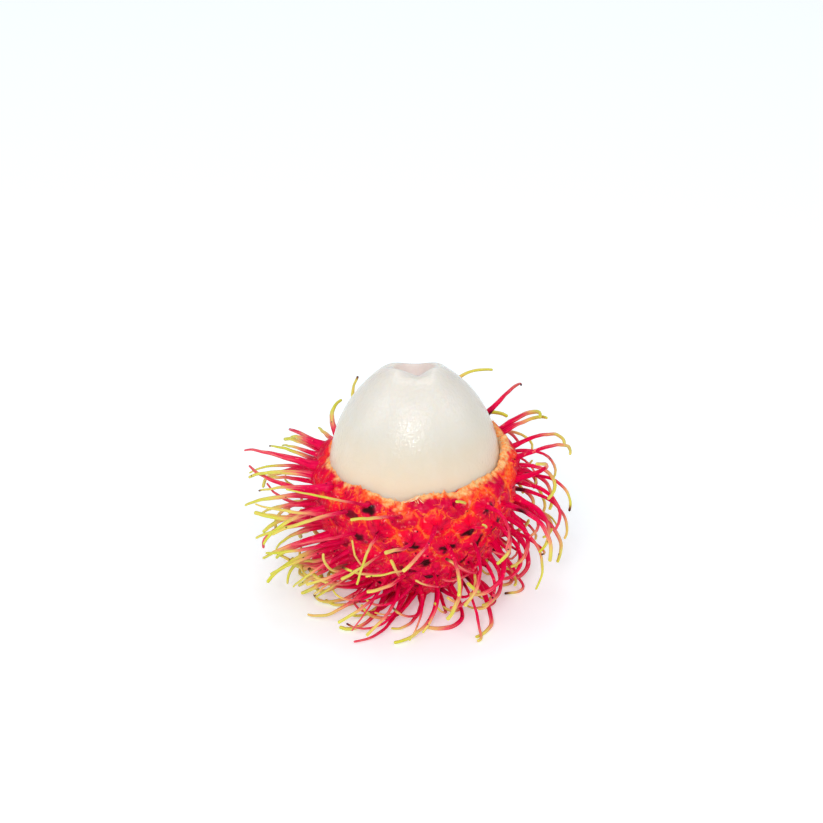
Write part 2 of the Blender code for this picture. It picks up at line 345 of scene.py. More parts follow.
SHALLOW_PIT = 0.15
EXTRA_PIT = 0.35
SIDE_PIT_LOSS = 0.7
RIPPLE = 0.09 * MM
LUMP = 0.14 * MM
PAD_PLEATS = 9
PAD_PLEAT = 0.05 * MM
PAD_PLEAT_RADIUS = 1.5 * MM
FOOT_FADE = 2.2 * MM
EDGE_FADE = (-0.3 * MM, 1.6 * MM)
# Any direction that no part of the skin faces gives the angles round a pad a start.
ASLANT = (0.3, 0.1, 1.0)
FOLDS = 41
FOLD_DEPTH = 0.03 * MM
FLARED_FOLD_DEPTH = 0.22 * MM
FOLD_REACH = (5 * MM, 0.6 * MM)
PITH_REACH = 0.42 * MM
PITH_RAGGEDNESS = (0.7 * MM, 0.8 * MM)
PITH_FADE = (0.3 * MM, -0.3 * MM)
# Each pad and spine reads the grain from a place of its own.
GRAIN_SHIFT = 3.7
RIMWARD_REACH = (5.5 * MM, 0.5 * MM)
# The orange net is strongest on the side that the sun ripened, and fades low down.
SUNNY_SIDE = math.radians(-60)
SUNNY_SPREAD = (0.60, 0.40)
SHADED_HEIGHT = -15 * MM
SHADED_SHARE = 0.4
BLUSH_HEIGHT = -14 * MM
BLUSH_SHARE = 0.6

CRIMSON = (0.70, 0.0, 0.045)
SCARLET = (1.0, 0.001, 0.022)
DULL_CRIMSON = (0.55, 0.0, 0.05)
MAGENTA = (0.92, 0.002, 0.095)
# Pink streaks along the grain are painted highlights.
PINK_STREAK_HIGHLIGHT = (1.0, 0.012, 0.10)
DARK_STREAK = (0.30, 0.0, 0.022)
FURROW_ORANGE = (1.0, 0.070, 0.012)
FURROW_GOLD = (1.0, 0.27, 0.055)
VERGE_RED = (1.0, 0.014, 0.018)
# A spine's colours from its root to its yellow-green end, each with how far it has turned.
UNTURNED = (0.80, 0.005, 0.07)
TURNING = (
    (0.28, (0.88, 0.10, 0.15)),
    (0.52, (0.90, 0.36, 0.18)),
    (0.76, (0.82, 0.70, 0.16)),
)
TURNED = (0.68, 0.70, 0.05)
BLACK_SPECK = (0.05, 0.003, 0.01)
PITH_ORANGE = (1.0, 0.26, 0.05)
PITH_GOLD = (0.93, 0.58, 0.25)
INNER_ORANGE = (1.0, 0.46, 0.16)
INNER_CREAM = (0.98, 0.84, 0.60)
# Pale pink flecks on the red skin are painted glints.
PAINTED_GLINT_PINK = (1.0, 0.24, 0.22)
PIT_EDGE = (0.24, 0.0, 0.020)
PIT_BLACK = (0.030, 0.004, 0.005)
STREAK_DEPTH = 0.3 * MM
GRAIN_DEPTH = 0.12 * MM


def rim_height(angle):
    """How high the torn edge stands over the body's middle here."""
    slope = RIM_BACK_RISE * math.sin(angle) + RIM_RIGHT_RISE * math.cos(angle)
    tears = sum(high * math.sin(waves * angle + phase) for waves, phase, high in RIM_TEARS)
    return RIM_HEIGHT + slope + tears


def flared(angle):
    """1 in the middle of the side that leans outwards, fading to 0 round the fruit."""
    apart = math.remainder(angle - FLARE_ANGLE, math.tau) / FLARE_HALF_SPAN
    return math.exp(-(apart**2))


def flare(angle, height):
    """How far the rind leans outwards here."""
    up = 1 - (rim_height(angle) - height) / FLARE_DROP
    return FLARE_OUT * max(0.0, up) ** 2 * flared(angle)


def edge_inset(angle):
    """How far the edge stands in from the skin: onto the flesh, but not where it is flared."""
    return EDGE_INSET + (FLARED_EDGE_INSET - EDGE_INSET) * flared(angle)


def skin_point(angle, height, inset=0.0):
    """The point at this height over the body's middle, on the skin or inset from it."""
    half_height = BODY_HALF_SIZE.z - inset
    share = math.sqrt(max(0.0, 1 - (height / half_height) ** 2))
    lean = flare(angle, height)
    return Vector(
        (
            ((BODY_HALF_SIZE.x - inset) * share + lean) * math.cos(angle),
            ((BODY_HALF_SIZE.y - inset) * share + lean) * math.sin(angle),
            BODY_CENTRE_Z + height,
        )
    )


def outward(point):
    """The skin's outward direction at a point of it."""
    above = point - Vector((0, 0, BODY_CENTRE_Z))
    return Vector([a / half**2 for a, half in zip(above, BODY_HALF_SIZE)]).normalized()


def equal_area_heights(count):
    """Heights over the body's middle that share its skin out evenly, from the crown down."""
    height = np.linspace(BODY_HALF_SIZE.z, -BODY_HALF_SIZE.z, 2001)
    radius = BODY_HALF_SIZE.x * np.sqrt(1 - (height / BODY_HALF_SIZE.z) ** 2)
    strip = np.hypot(np.diff(height), np.diff(radius))
    area = np.concatenate([[0], np.cumsum(strip * (radius[1:] + radius[:-1]))])
    wanted = (np.arange(count) + 0.5) / count * area[-1]
    return np.interp(wanted, area, height).tolist()


def pad_middles():
    """(number, middle, size of its spine or 0) for every pad, and those peeled away too."""
    found = []
    for number, height in enumerate(equal_area_heights(WHOLE_FRUIT_SPINES)):
        draw = random.Random(SEED * 1000 + number)
        height += draw.uniform(-1, 1) * ROOT_SCATTER
        angle = number * GOLDEN_ANGLE + draw.uniform(-1, 1) * ROOT_SCATTER / BODY_HALF_SIZE.x
        point = skin_point(angle, max(height, -BODY_CENTRE_Z))
        on_cup = height < rim_height(angle) - ROOT_BELOW_RIM
        spiny = on_cup and math.hypot(point.x, point.y) > BARE_FOOT_RADIUS
        found.append((number, point, 1.0 if spiny else 0.0))
    return found


def extra_middles():
    """More (number, middle, size) in the gaps between the others, where slimmer spines stand."""
    pads = pad_middles()
    found = []
    for step, height in enumerate(equal_area_heights(EXTRA_PLACES)):
        number = step + WHOLE_FRUIT_SPINES
        draw = random.Random(SEED * 3000 + number)
        angle = (step + 0.5) * GOLDEN_ANGLE + math.pi
        point = skin_point(angle, max(height, -BODY_CENTRE_Z))
        bare = -math.sin(angle) > BARE_FRONT and height > BARE_FRONT_HEIGHT
        on_cup = height < rim_height(angle) - EXTRA_BELOW_RIM
        if bare or not on_cup or math.hypot(point.x, point.y) < BARE_FOOT_RADIUS:
            continue
        clear = min((point - middle).length for _, middle, _ in pads)
        low = float(smooth_step(*LOW_HEIGHTS, height))
        thinned = RIGHT_THINNING * max(0.0, math.cos(angle - RIGHT_MIDDLE)) ** 2
        thinned += HIGH_THINNING * (1 - low)
        apart = EXTRA_APART * (1 - LOW_CROWDING * low)
        if clear > apart and draw.random() < EXTRA_SHARE - thinned:
            found.append((number, point, draw.uniform(*EXTRA_SIZE)))
    return found


PADS = pad_middles() + extra_middles()


def edge_teeth():
    """(angle, half-width, height) of each little tooth of skin on the torn edge."""
    draw = random.Random(SEED)
    return [
        (
            draw.uniform(0, math.tau),
            draw.uniform(*TOOTH_HALF_WIDTH),
            draw.uniform(*TOOTH_HEIGHT),
        )
        for _ in range(EDGE_TEETH)
    ]


TEETH = edge_teeth()


def tear(angle):
    """How far the skin's torn edge stands over the rim's smooth course here."""
    around = Vector((math.cos(angle), math.sin(angle), 0))
    rough = sum(high * noise.noise(around * waves) for waves, high in EDGE_TEARS)
    reach = [1 - abs(math.remainder(angle - at, math.tau)) / half for at, half, _ in TEETH]
    tooth = max(max(0.0, r) * high for r, (_, _, high) in zip(reach, TEETH))
    return rough + tooth - TOOTH_SINK


# Which side of the wall a point of the rind is on.
OUTSIDE, EDGE, INSIDE = 0.0, 1.0, 2.0


def outer_spot(share, angle, rim, torn):
    """The point this share of the way up the outside, and how far below the rim it is."""
    foot_turn = -math.asin(BODY_CENTRE_Z / BODY_HALF_SIZE.z)
    rim_turn = math.asin(rim / BODY_HALF_SIZE.z)
    height = BODY_HALF_SIZE.z * math.sin(foot_turn + share * (rim_turn - foot_turn))
    near = float(smooth_step(TEAR_REACH, 0, rim - height))
    thinned = max(0.0, 1 - (rim - height) / EDGE_BEVEL) ** EDGE_BEVEL_CURVE
    inset = (edge_inset(angle) - EDGE_WALL) * thinned
    return skin_point(angle, height + near * torn, inset), rim - height


def edge_spot(share, angle, rim, torn):
    """The point this share of the way over the torn edge, which counts as on the rim."""
    lean = share * LIP_REACH * flare(angle, rim)
    inset = edge_inset(angle) - (1 - share) * EDGE_WALL + lean
    arch = LIP_ARCH * math.sin(math.pi * share) + LIP_RISE * share
    return skin_point(angle, rim + torn + arch - LIP_DROP * lean, inset), 0.0


def inner_spot(share, angle, rim, torn):
    """The point this share of the way down the inside, and how far below the rim it is."""
    share = share**INNER_CROWDING
    wall = RIND_WALL + FLESH_GAP
    inner_half = BODY_HALF_SIZE.z - wall
    top = rim + (1 - share) ** INNER_TEAR_FALL * torn - INNER_START
    rim_turn = math.asin(top / inner_half)
    height = inner_half * math.sin(rim_turn + share * (INNER_FOOT_TURN - rim_turn))
    inset = wall + (edge_inset(angle) - wall) * (1 - share) ** INNER_WALL_RETURN
    filled = float(smooth_step(*FLARE_FILL, rim - height))
    reach = LIP_REACH + (1 - LIP_REACH) * filled
    return skin_point(angle, height, inset + reach * flare(angle, height)), rim - height


def rind_shape():
    """The cup's smooth shape, with the side of the wall and the distance below the rim."""
    shape = bmesh.new()
    turn = shape.verts.layers.float.new("turn")
    side = shape.verts.layers.float.new("side")
    drop = shape.verts.layers.float.new("drop")
    bmesh.ops.create_circle(shape, cap_ends=True, segments=RIND_COLUMNS, radius=REST_RADIUS)
    tears = {}
    for vert in shape.verts:
        vert[turn] = math.atan2(vert.co.y, vert.co.x)
        vert[drop] = 1.0
        # The layer rounds the angle, so it is read back.
        angle = vert[turn]
        tears[angle] = (rim_height(angle), tear(angle))
    ring = list(shape.edges)
    for rows, spot_of, which in (
        (OUTER_ROWS, outer_spot, OUTSIDE),
        (EDGE_ROWS, edge_spot, EDGE),
        (INNER_ROWS, inner_spot, INSIDE),
    ):
        for row in range(1, rows + 1):
            made = bmesh.ops.extrude_edge_only(shape, edges=ring)["geom"]
            ring = [g for g in made if isinstance(g, bmesh.types.BMEdge)]
            for vert in (g for g in made if isinstance(g, bmesh.types.BMVert)):
                angle = vert[turn]
                vert.co, vert[drop] = spot_of(row / rows, angle, *tears[angle])
                vert[side] = which
    bmesh.ops.holes_fill(shape, edges=ring)
    bmesh.ops.recalc_face_normals(shape, faces=shape.faces)
    return shape


def read_points(mesh):
    points = np.empty(len(mesh.vertices) * 3)
    mesh.vertices.foreach_get("co", points)
    return points.reshape(-1, 3)


def read_layer(mesh, name):
    values = np.empty(len(mesh.vertices))
    mesh.attributes[name].data.foreach_get("value", values)
    return values


def carry(mesh, name, values):
    """Puts a number, or a vector, on every point of the mesh for its material."""
    kind, key = ("FLOAT", "value") if values.ndim == 1 else ("FLOAT_VECTOR", "vector")
    mesh.attributes.new(name, kind, "POINT").data.foreach_set(key, values.ravel())


def noise_at(points, scale, seed=0.0):
    shift = Vector((seed, seed * 0.7, -seed))
    return np.array([noise.noise(Vector(p) * scale + shift) for p in points])


def nearest_pads(points):
    """Each point's nearest pad, its way off the pad's middle, and its distance off the border."""
    middles = np.array([point for _, point, _ in PADS])
    apart = np.linalg.norm(points[:, None] - middles[None], axis=2)
    order = np.argpartition(apart, 2, axis=1)[:, :2]
    pair = np.take_along_axis(apart, order, 1)
    nearest = np.where(pair[:, 0] > pair[:, 1], order[:, 1], order[:, 0])
    coarse, fine = FURROW_WANDER
    wander = noise_at(points, 330, 2.0) * coarse + noise_at(points, 900) * fine
    border = np.maximum(0, pair.max(axis=1) - pair.min(axis=1) + wander)
    return nearest, points - middles[nearest], border


def around_pad(points, away):
    """The skin's outward direction at each point, and the point's angle round its pad."""
    out = np.stack([points[:, 0], points[:, 1], points[:, 2] - BODY_CENTRE_Z], axis=1)
    out /= np.array(BODY_HALF_SIZE) ** 2
    out /= np.linalg.norm(out, axis=1, keepdims=True)
    across = np.cross(out, ASLANT)
    across /= np.linalg.norm(across, axis=1, keepdims=True)
    up = np.cross(out, across)
    return out, np.arctan2((away * up).sum(1), (away * across).sum(1))


def edge_folds(points, angle, side, drop):
    """The small folds that run down the edge and the inside, deeper where the rind is flared."""
    off_flare = np.remainder(angle - FLARE_ANGLE + math.pi, math.tau) - math.pi
    depth = FOLD_DEPTH + FLARED_FOLD_DEPTH * np.exp(-(off_flare**2)) ** 2
    folds = np.sin(angle * FOLDS + 3 * np.sin(angle * 5)) + noise_at(points, 500, 6.0)
    return depth * folds * (side != OUTSIDE) * smooth_step(*FOLD_REACH, drop)


def shape_skin(mesh, lean_of):
    """Raises the pads and their cones, sinks furrows and pits, and notes what the finish needs."""
    points = read_points(mesh)
    side, drop = read_layer(mesh, "side"), read_layer(mesh, "drop")
    outside = side == OUTSIDE
    angle = np.arctan2(points[:, 1], points[:, 0])
    nearest, away, border = nearest_pads(points)
    out, round_pad = around_pad(points, away)
    off_middle = np.linalg.norm(away, axis=1)
    off_pit = np.linalg.norm(away + PIT_SHIFT * lean_of[nearest], axis=1)

    size = np.array([size for _, _, size in PADS])[nearest]
    furrow = np.exp(-((border / FURROW_WIDTH) ** 2))
    swell = PAD_SWELL * np.clip(1 - (off_middle / PAD_REACH) ** 2, 0, 1)
    cone = CONE_RISE * size * np.exp(-((off_middle / CONE_REACH) ** 1.5))
    pleat = PAD_PLEAT * np.sin(round_pad * PAD_PLEATS + nearest)
    pleat *= np.exp(-(((off_middle - PAD_PLEAT_RADIUS) / MM) ** 2))
    pit = np.exp(-((off_pit / PIT_RADIUS) ** 2)) * PIT_STRENGTH[nearest]
    relief = swell + cone + pleat - FURROW_DEPTH * furrow - PIT_DEPTH * pit
    relief += RIPPLE * noise_at(points, 1500, 5.0) + LUMP * noise_at(points, 420, 8.0)
    from_axis = np.hypot(points[:, 0], points[:, 1])
    relief *= smooth_step(REST_RADIUS, REST_RADIUS + FOOT_FADE, from_axis)
    relief *= smooth_step(*EDGE_FADE, drop) * outside
    relief += edge_folds(points, angle, side, drop)
    points += out * relief[:, None]
    points[:, 2] = np.maximum(points[:, 2], 0)
    mesh.vertices.foreach_set("co", points.ravel())

    # The pith shows on the edge and inside, and reaches a little over the outside.
    fine, coarse = PITH_RAGGEDNESS
    ragged = fine * noise_at(points, 1100, 9.0) + coarse * noise_at(points, 300, 3.0)
    pith = smooth_step(*PITH_FADE, drop - PITH_REACH - ragged)
    blot = off_pit + PIT_RAGGEDNESS * noise_at(points, 1100, 7.0)
    height = points[:, 2] - BODY_CENTRE_Z
    shown = SHADED_SHARE + (1 - SHADED_SHARE) * smooth_step(SHADED_HEIGHT, 0, height)
    middling, spread = SUNNY_SPREAD
    shown *= (middling + spread * np.cos(angle - SUNNY_SIDE)) * outside
    carried = {
        "furrow": furrow * shown,
        "verge": np.exp(-((border / VERGE_WIDTH) ** 2)) * shown,
        "rimward": smooth_step(*RIMWARD_REACH, drop) * shown,
        "blush": smooth_step(0, BLUSH_HEIGHT, height) * BLUSH_SHARE,
        "pith": np.where(outside, pith, 1.0),
        "inner": (side == INSIDE).astype(float),
        "dark": smooth_step(*PIT_DARK, blot) * outside * PIT_STRENGTH[nearest],
        "ripe": np.zeros(len(points)),
        "tint": np.random.default_rng(SEED).random(len(PADS))[nearest],
        "grain": np.stack([np.cos(round_pad), np.sin(round_pad), off_middle / (4 * MM)], axis=1)
        + nearest[:, None] * GRAIN_SHIFT,
        "strand": np.stack([np.cos(angle) * 9, np.sin(angle) * 9, drop / (4 * MM)], axis=1),
    }
    for name, values in carried.items():
        carry(mesh, name, values)
    for name in ("turn", "side", "drop"):
        mesh.attributes.remove(mesh.attributes[name])


def sideways(root):
    """1 for a root at the fruit's left, 0 at its front, back and right."""
    return float(smooth_step(0.4, 0.85, -outward(root).x))


def pit_strengths():
    """How dark the pit beside each spine's root is: most are nearly black, a few hardly show."""
    draw = random.Random(SEED + 1)
    deep = [1.0 if draw.random() < DEEP_PIT_SHARE else SHALLOW_PIT for _ in PADS]
    found = []
    for strength, (_, root, size) in zip(deep, PADS):
        strength *= size if size == 1 else EXTRA_PIT * size
        found.append(strength * (1 - SIDE_PIT_LOSS * sideways(root)))
    return np.array(found)


PIT_STRENGTH = pit_strengths()


def red_skin(finish, streaks, blotches):
    """Blotched crimson, duller on some pads and more magenta low down, with fine dark streaks and
    painted pink highlight streaks.
    """
    red = finish.blend(finish.levels(blotches, 0.35, 0.65), CRIMSON, SCARLET)
    red = finish.blend(finish.levels(finish.carried("tint"), 0, 1, 0, 0.4), red, DULL_CRIMSON)
    red = finish.blend(finish.levels(finish.carried("blush"), 0, 1, 0, 0.75), red, MAGENTA)
    red = finish.blend(finish.levels(streaks, 0.54, 0.74, 0, 0.5), red, PINK_STREAK_HIGHLIGHT)
    return finish.blend(finish.levels(streaks, 0.46, 0.28, 0, 0.75), red, DARK_STREAK)


def orange_net(finish, colour, spot, blotches, fine):
    """Orange furrows and hair cracks, a warmer red beside them, and more orange by the rim."""
    orange = finish.blend(finish.levels(fine, 0.4, 0.7), FURROW_ORANGE, FURROW_GOLD)
    patchy = finish.levels(blotches, 0.3, 0.6, 0.4, 1.2)
    verge = finish.math("MULTIPLY", finish.carried("verge"), patchy)
    colour = finish.blend(finish.levels(verge, 0.3, 0.95, 0, 0.6), colour, VERGE_RED)
    net = finish.math("MULTIPLY", finish.carried("furrow"), patchy)
    colour = finish.blend(finish.levels(net, 0.42, 0.82), colour, orange)
    cracks = finish.math("SUBTRACT", finish.speckle(spot, 520, detail=2), 0.5)
    cracks = finish.levels(finish.math("ABSOLUTE", cracks), 0.035, 0.008)
    cracks = finish.math("MULTIPLY", cracks, finish.carried("verge"))
    colour = finish.blend(finish.levels(cracks, 0.1, 0.6, 0, 0.9), colour, orange)
    sallow = finish.levels(blotches, 0.42, 0.62)
    sallow = finish.math("MULTIPLY", finish.carried("rimward"), sallow)
    return finish.blend(finish.levels(sallow, 0.25, 0.8, 0, 0.75), colour, orange)


def green_ends(finish, colour, streaks):
    """The spines' turn from red through pink and gold to yellow-green. It spares the cup."""
    carried = finish.carried("ripe")
    ripe = finish.math("ADD", carried, finish.levels(streaks, 0.3, 0.7, -0.32, 0.32))
    ramp = finish.add("ValToRGB", {"Fac": ripe})
    stops = ramp.node.color_ramp.elements
    for at, shade in TURNING:
        stops.new(at).color = (*shade, 1)
    stops[0].color = (*UNTURNED, 1)
    stops[-1].color = (*TURNED, 1)
    on_spine = finish.levels(carried, 0, 0.1)
    turned = finish.math("MULTIPLY", on_spine, finish.levels(ripe, 0.02, 0.2))
    return finish.blend(turned, colour, ramp)


def torn_pith(finish, colour, fine):
    """Orange pith on the torn edge, and paler, stringier lining inside."""
    strands = finish.speckle(finish.carried("strand", "Vector"), 5.0, detail=5, roughness=0.65)
    pith = finish.blend(finish.levels(fine, 0.38, 0.60), PITH_ORANGE, PITH_GOLD)
    lining = finish.blend(finish.levels(strands, 0.40, 0.60), INNER_ORANGE, INNER_CREAM)
    pith = finish.blend(finish.carried("inner"), pith, lining)
    return finish.blend(finish.carried("pith"), colour, pith)


def painted_glints_and_pits(finish, colour, spot, blotches):
    """Painted highlights as small pale pink glints flecked over the red skin, and dark pits at the
    spines' roots.
    """
    pink_glints = finish.speckle(spot, 1150, detail=3, roughness=0.55)
    pink_glints = finish.levels(pink_glints, 0.62, 0.70)
    pink_glints = finish.math("MULTIPLY", pink_glints, finish.levels(blotches, 0.4, 0.55))
    unripe = finish.levels(finish.carried("ripe"), 0.3, 0.1)
    colour = finish.blend(finish.math("MULTIPLY", pink_glints, unripe), colour, PAINTED_GLINT_PINK)
    dark = finish.carried("dark")
    colour = finish.blend(finish.levels(dark, 0, 0.5, 0, 0.85), colour, PIT_EDGE)
    return finish.blend(finish.levels(dark, 0.4, 0.9), colour, PIT_BLACK)


def rind_finish():
    """The crimson peel: also the finish of the spines, which carry how far they turned green."""
    finish = Finish("rambutan_peel")
    spot = finish.place()
    streaks = finish.speckle(finish.carried("grain", "Vector"), 3.2, detail=4, roughness=0.6)
    blotches = finish.speckle(spot, 300, detail=3)
    fine = finish.speckle(spot, 1700, detail=3, roughness=0.6)
    specks = finish.add("TexVoronoi", {"Vector": spot, "Scale": 520, "Randomness": 1.0})
    colour = red_skin(finish, streaks, blotches)
    colour = orange_net(finish, colour, spot, blotches, fine)
    colour = green_ends(finish, colour, streaks)
    colour = finish.blend(finish.levels(specks, 0.12, 0.06), colour, BLACK_SPECK)
    colour = torn_pith(finish, colour, fine)
    colour = painted_glints_and_pits(finish, colour, spot, blotches)
    normal = finish.bump(streaks, STREAK_DEPTH, 0.5)
    finish.set(
        Base_Color=colour,
        Normal=finish.bump(fine, GRAIN_DEPTH, 0.55, under=normal),
        Roughness=finish.levels(fine, 0.3, 0.7, 0.26, 0.46),
        Specular_IOR_Level=0.02,
        Subsurface_Weight=0.06,
        Subsurface_Radius=(1.0, 0.30, 0.22),
        Subsurface_Scale=0.0010,
        Coat_Weight=0.14,
        Coat_Roughness=0.06,
    )
    return finish.material


PEEL = rind_finish()

# ---- The spines --------------------------------------------------------------
# Soft hair-like spines grow out of the middle of every pad and belong to the peel. Each starts
# as a broad flat ribbon and tapers to a round end. They are swept clockwise round the fruit and
# curl over, their ends dried to yellow-green, and those under the fruit lie along the floor.

SPINE_LENGTH = 14.6 * MM
LENGTH_SPREAD = (0.82, 1.14)
SPINE_WIDTHS = (1.4 * MM, 0.86 * MM, 0.56 * MM)
SPINE_FLATNESS = (0.55, 0.72, 0.9)
SPINE_ROLL = 0.9
EXTRA_CURL = 1.35
EXTRA_SCATTER = 0.32
EXTRA_SHORTNESS = 0.45
COMBED_STRETCH = 0.2
HOOK_TURN = (80, 150)
HOOK_SHARE = 0.75
HOOK_RISE = 0.3
HOOK_HEIGHTS = (-5 * MM, -11 * MM)
WALK_STEPS = 28
SPINE_SIDES = 10
EXTRA_SIDES = 7
LOW_CURL = 0.6
START_SWEEP = 0.3
START_RISE = 0.12
START_SCATTER = 0.2
FRONT_RISE = 0.35
FRONT_SWEEP_LOSS = 0.2
RIGHT_SIDE = Vector((0.94, 0.34, 0))
LIFT_RISE = 0.8
LIFT_DEPTH = 8 * MM
LIFT_STRETCH = 0.12
CURL_TURN = (35, 70)
RIGHT_CURL_TURN = 45
CURL_DELAY = 1.9
CURL_DROOP = 0.5
CURL_LIFT = 1.3
CURL_SWEEP = 0.7
CURL_SCATTER = 0.55
FLOOR_EASE = 2.6 * MM
FLOOR_RUN = 0.35
FLOOR_CLEARANCE = 0.55
ROOT_SWELL = 0.6 * MM
ROOT_SWELL_START = -0.3 * MM
ROOT_SWELL_FADE = 0.55 * MM
ROUND_ROOT_FADE = 1.2 * MM
ROOT_DEPTH = 0.7 * MM
LUMPINESS = 0.12
BLUNTNESS = (0.6, 1.3)
WOBBLE = 0.16 * MM
TIP_ROUNDING = ((0.12 * MM, 0.86), (0.20 * MM, 0.55))
GREEN_START = 0.80
GREEN_START_AT_LEFT = -0.27
GREEN_START_HIGHER = -0.25
GREEN_SCATTER = 0.15
GREEN_FADE = (-0.34, 0.22)
FULLY_TURNED = (0.75, 1.0)
HARDLY_TURNED = 0.25
TURNED_SHARE = 0.86
STAINED_SHARE = 0.4
STAIN_PLACES = (0.02, 0.3)
STAIN_LENGTH = 0.07
ROOT_STAIN = 0.6
ROOT_STAIN_LENGTH = 0.11
FRONT_SLIMMING = 0.4
SIDE_BROADENING = 0.6 * MM
BURNT_TIP_SHARE = 0.15
UP = Vector((0, 0, 1))


def between(values, share):
    """A value read from evenly spaced ones, so that three give a root, a middle and a tip."""
    place = share * (len(values) - 1)
    low = min(int(place), len(values) - 2)
    return values[low] + (values[low + 1] - values[low]) * (place - low)


def squared_to(side, along):
    """The side direction turned the least way that sets it square to another."""
    return (side - side.dot(along) * along).normalized()


def spine_centreline(number, root, size):
    """Even steps along one spine: out from the skin, then curling over as a hook."""
    draw = random.Random(SEED * 5000 + number)
    swept = Vector((root.y, -root.x, 0)).normalized()
    flat_out = Vector((root.x, root.y, 0)).normalized()
    scatter = Vector([draw.uniform(-1, 1) for _ in range(3)])
    angle = math.atan2(root.y / BODY_HALF_SIZE.y, root.x / BODY_HALF_SIZE.x)
    below_rim = rim_height(angle) - (root.z - BODY_CENTRE_Z)
    rightness = max(0.0, flat_out.dot(RIGHT_SIDE))
    frontness = max(0.0, -flat_out.y) ** 3
    lift = rightness * max(0.0, 1 - below_rim / LIFT_DEPTH)

    length = SPINE_LENGTH * draw.uniform(*LENGTH_SPREAD) * (1 + LIFT_STRETCH * lift)
    turn = math.radians(draw.uniform(*CURL_TURN) + RIGHT_CURL_TURN * rightness)
    lowness = float(smooth_step(*HOOK_HEIGHTS, root.z - BODY_CENTRE_Z))
    combed = sideways(root)
    hooked = size < 1 and draw.random() < HOOK_SHARE * lowness * (1 - combed)
    turn *= 1 + LOW_CURL * lowness
    astray = START_SCATTER
    if size < 1:
        length *= 1 - (EXTRA_SHORTNESS - COMBED_STRETCH * combed) * (1 - size)
        turn *= EXTRA_CURL + (1 - EXTRA_CURL) * combed
        astray = EXTRA_SCATTER + (START_SCATTER - EXTRA_SCATTER) * combed
    if hooked:
        turn = math.radians(draw.uniform(*HOOK_TURN))
    sweep = START_SWEEP - FRONT_SWEEP_LOSS * frontness
    rise = START_RISE + LIFT_RISE * lift + FRONT_RISE * frontness
    start = outward(root) + astray * scatter + sweep * swept + rise * UP
    start.normalize()
    droop = -HOOK_RISE if hooked else CURL_DROOP
    curl = (CURL_LIFT * lift - droop) * UP + CURL_SWEEP * swept + CURL_SCATTER * scatter
    curl = squared_to(curl, start)

    place = root.copy()
    line = [place.copy()]
    for i in range(WALK_STEPS):
        share = (i + 0.5) / WALK_STEPS
        angle = turn * share**CURL_DELAY
        heading = math.cos(angle) * start + math.sin(angle) * curl
        clear = max(0.0, place.z - FLOOR_CLEARANCE * between(SPINE_WIDTHS, share))
        if heading.z < -clear / FLOOR_EASE:
            heading += (-clear / FLOOR_EASE - heading.z) * UP + FLOOR_RUN * flat_out
        place = place + length / WALK_STEPS * heading.normalized()
        line.append(place.copy())
    return line


def ring_place(centre, along, side, width, thickness):
    """The matrix that lays a unit circle square across the centreline."""
    turn = Matrix((side, along.cross(side), along)).transposed().to_4x4()
    return Matrix.Translation(centre) @ turn @ Matrix.Diagonal((width, thickness, 1, 1))


def drawn_out(shape, sides, places):
    """A tube with a ring at each place, closed at both ends. Gives its rings of points."""
    circle = {"segments": sides, "radius": 0.5, "matrix": places[0]}
    rings = [bmesh.ops.create_circle(shape, cap_ends=True, **circle)["verts"]]
    edges = list(shape.edges)
    for last, place in zip(places, places[1:]):
        geometry = bmesh.ops.extrude_edge_only(shape, edges=edges)["geom"]
        made = [g for g in geometry if isinstance(g, bmesh.types.BMVert)]
        edges = [g for g in geometry if isinstance(g, bmesh.types.BMEdge)]
        bmesh.ops.transform(shape, matrix=place @ last.inverted(), verts=made)
        rings.append(made)
    bmesh.ops.holes_fill(shape, edges=edges)
    bmesh.ops.recalc_face_normals(shape, faces=shape.faces)
    return rings


def ripeness(number, root):
    """(share of the spine at which yellow-green begins, how far it goes)."""
    draw = random.Random(SEED * 7000 + number)
    flat_out = Vector((root.x, root.y, 0)).normalized()
    height = (root.z - BODY_CENTRE_Z) / BODY_HALF_SIZE.z
    left = max(0.0, -flat_out.x)
    start = GREEN_START + GREEN_START_AT_LEFT * left
    start += GREEN_START_HIGHER * max(0.0, 0.45 + height)
    start += draw.uniform(-GREEN_SCATTER, GREEN_SCATTER)
    if draw.random() < TURNED_SHARE:
        return start, draw.uniform(*FULLY_TURNED)
    return start, HARDLY_TURNED


def spine_stations(number, root, size):
    """(distance along, centre, direction) for each ring of a spine, from inside the pad."""
    line = spine_centreline(number, root, size)
    step = (line[1] - line[0]).length
    every = 1 if size == 1 else 2
    stations = [(-ROOT_DEPTH, root - ROOT_DEPTH * outward(root), outward(root))]
    for i in range(0, WALK_STEPS + 1, every):
        wobble = noise.noise_vector(Vector((number * 7.3, i * 0.22, 0)))
        ease = float(smooth_step(0, 4, i))
        along = (line[min(i + 1, WALK_STEPS)] - line[max(i - 1, 0)]).normalized()
        stations.append((i * step, line[i] + WOBBLE * ease * wobble, along))
    return stations


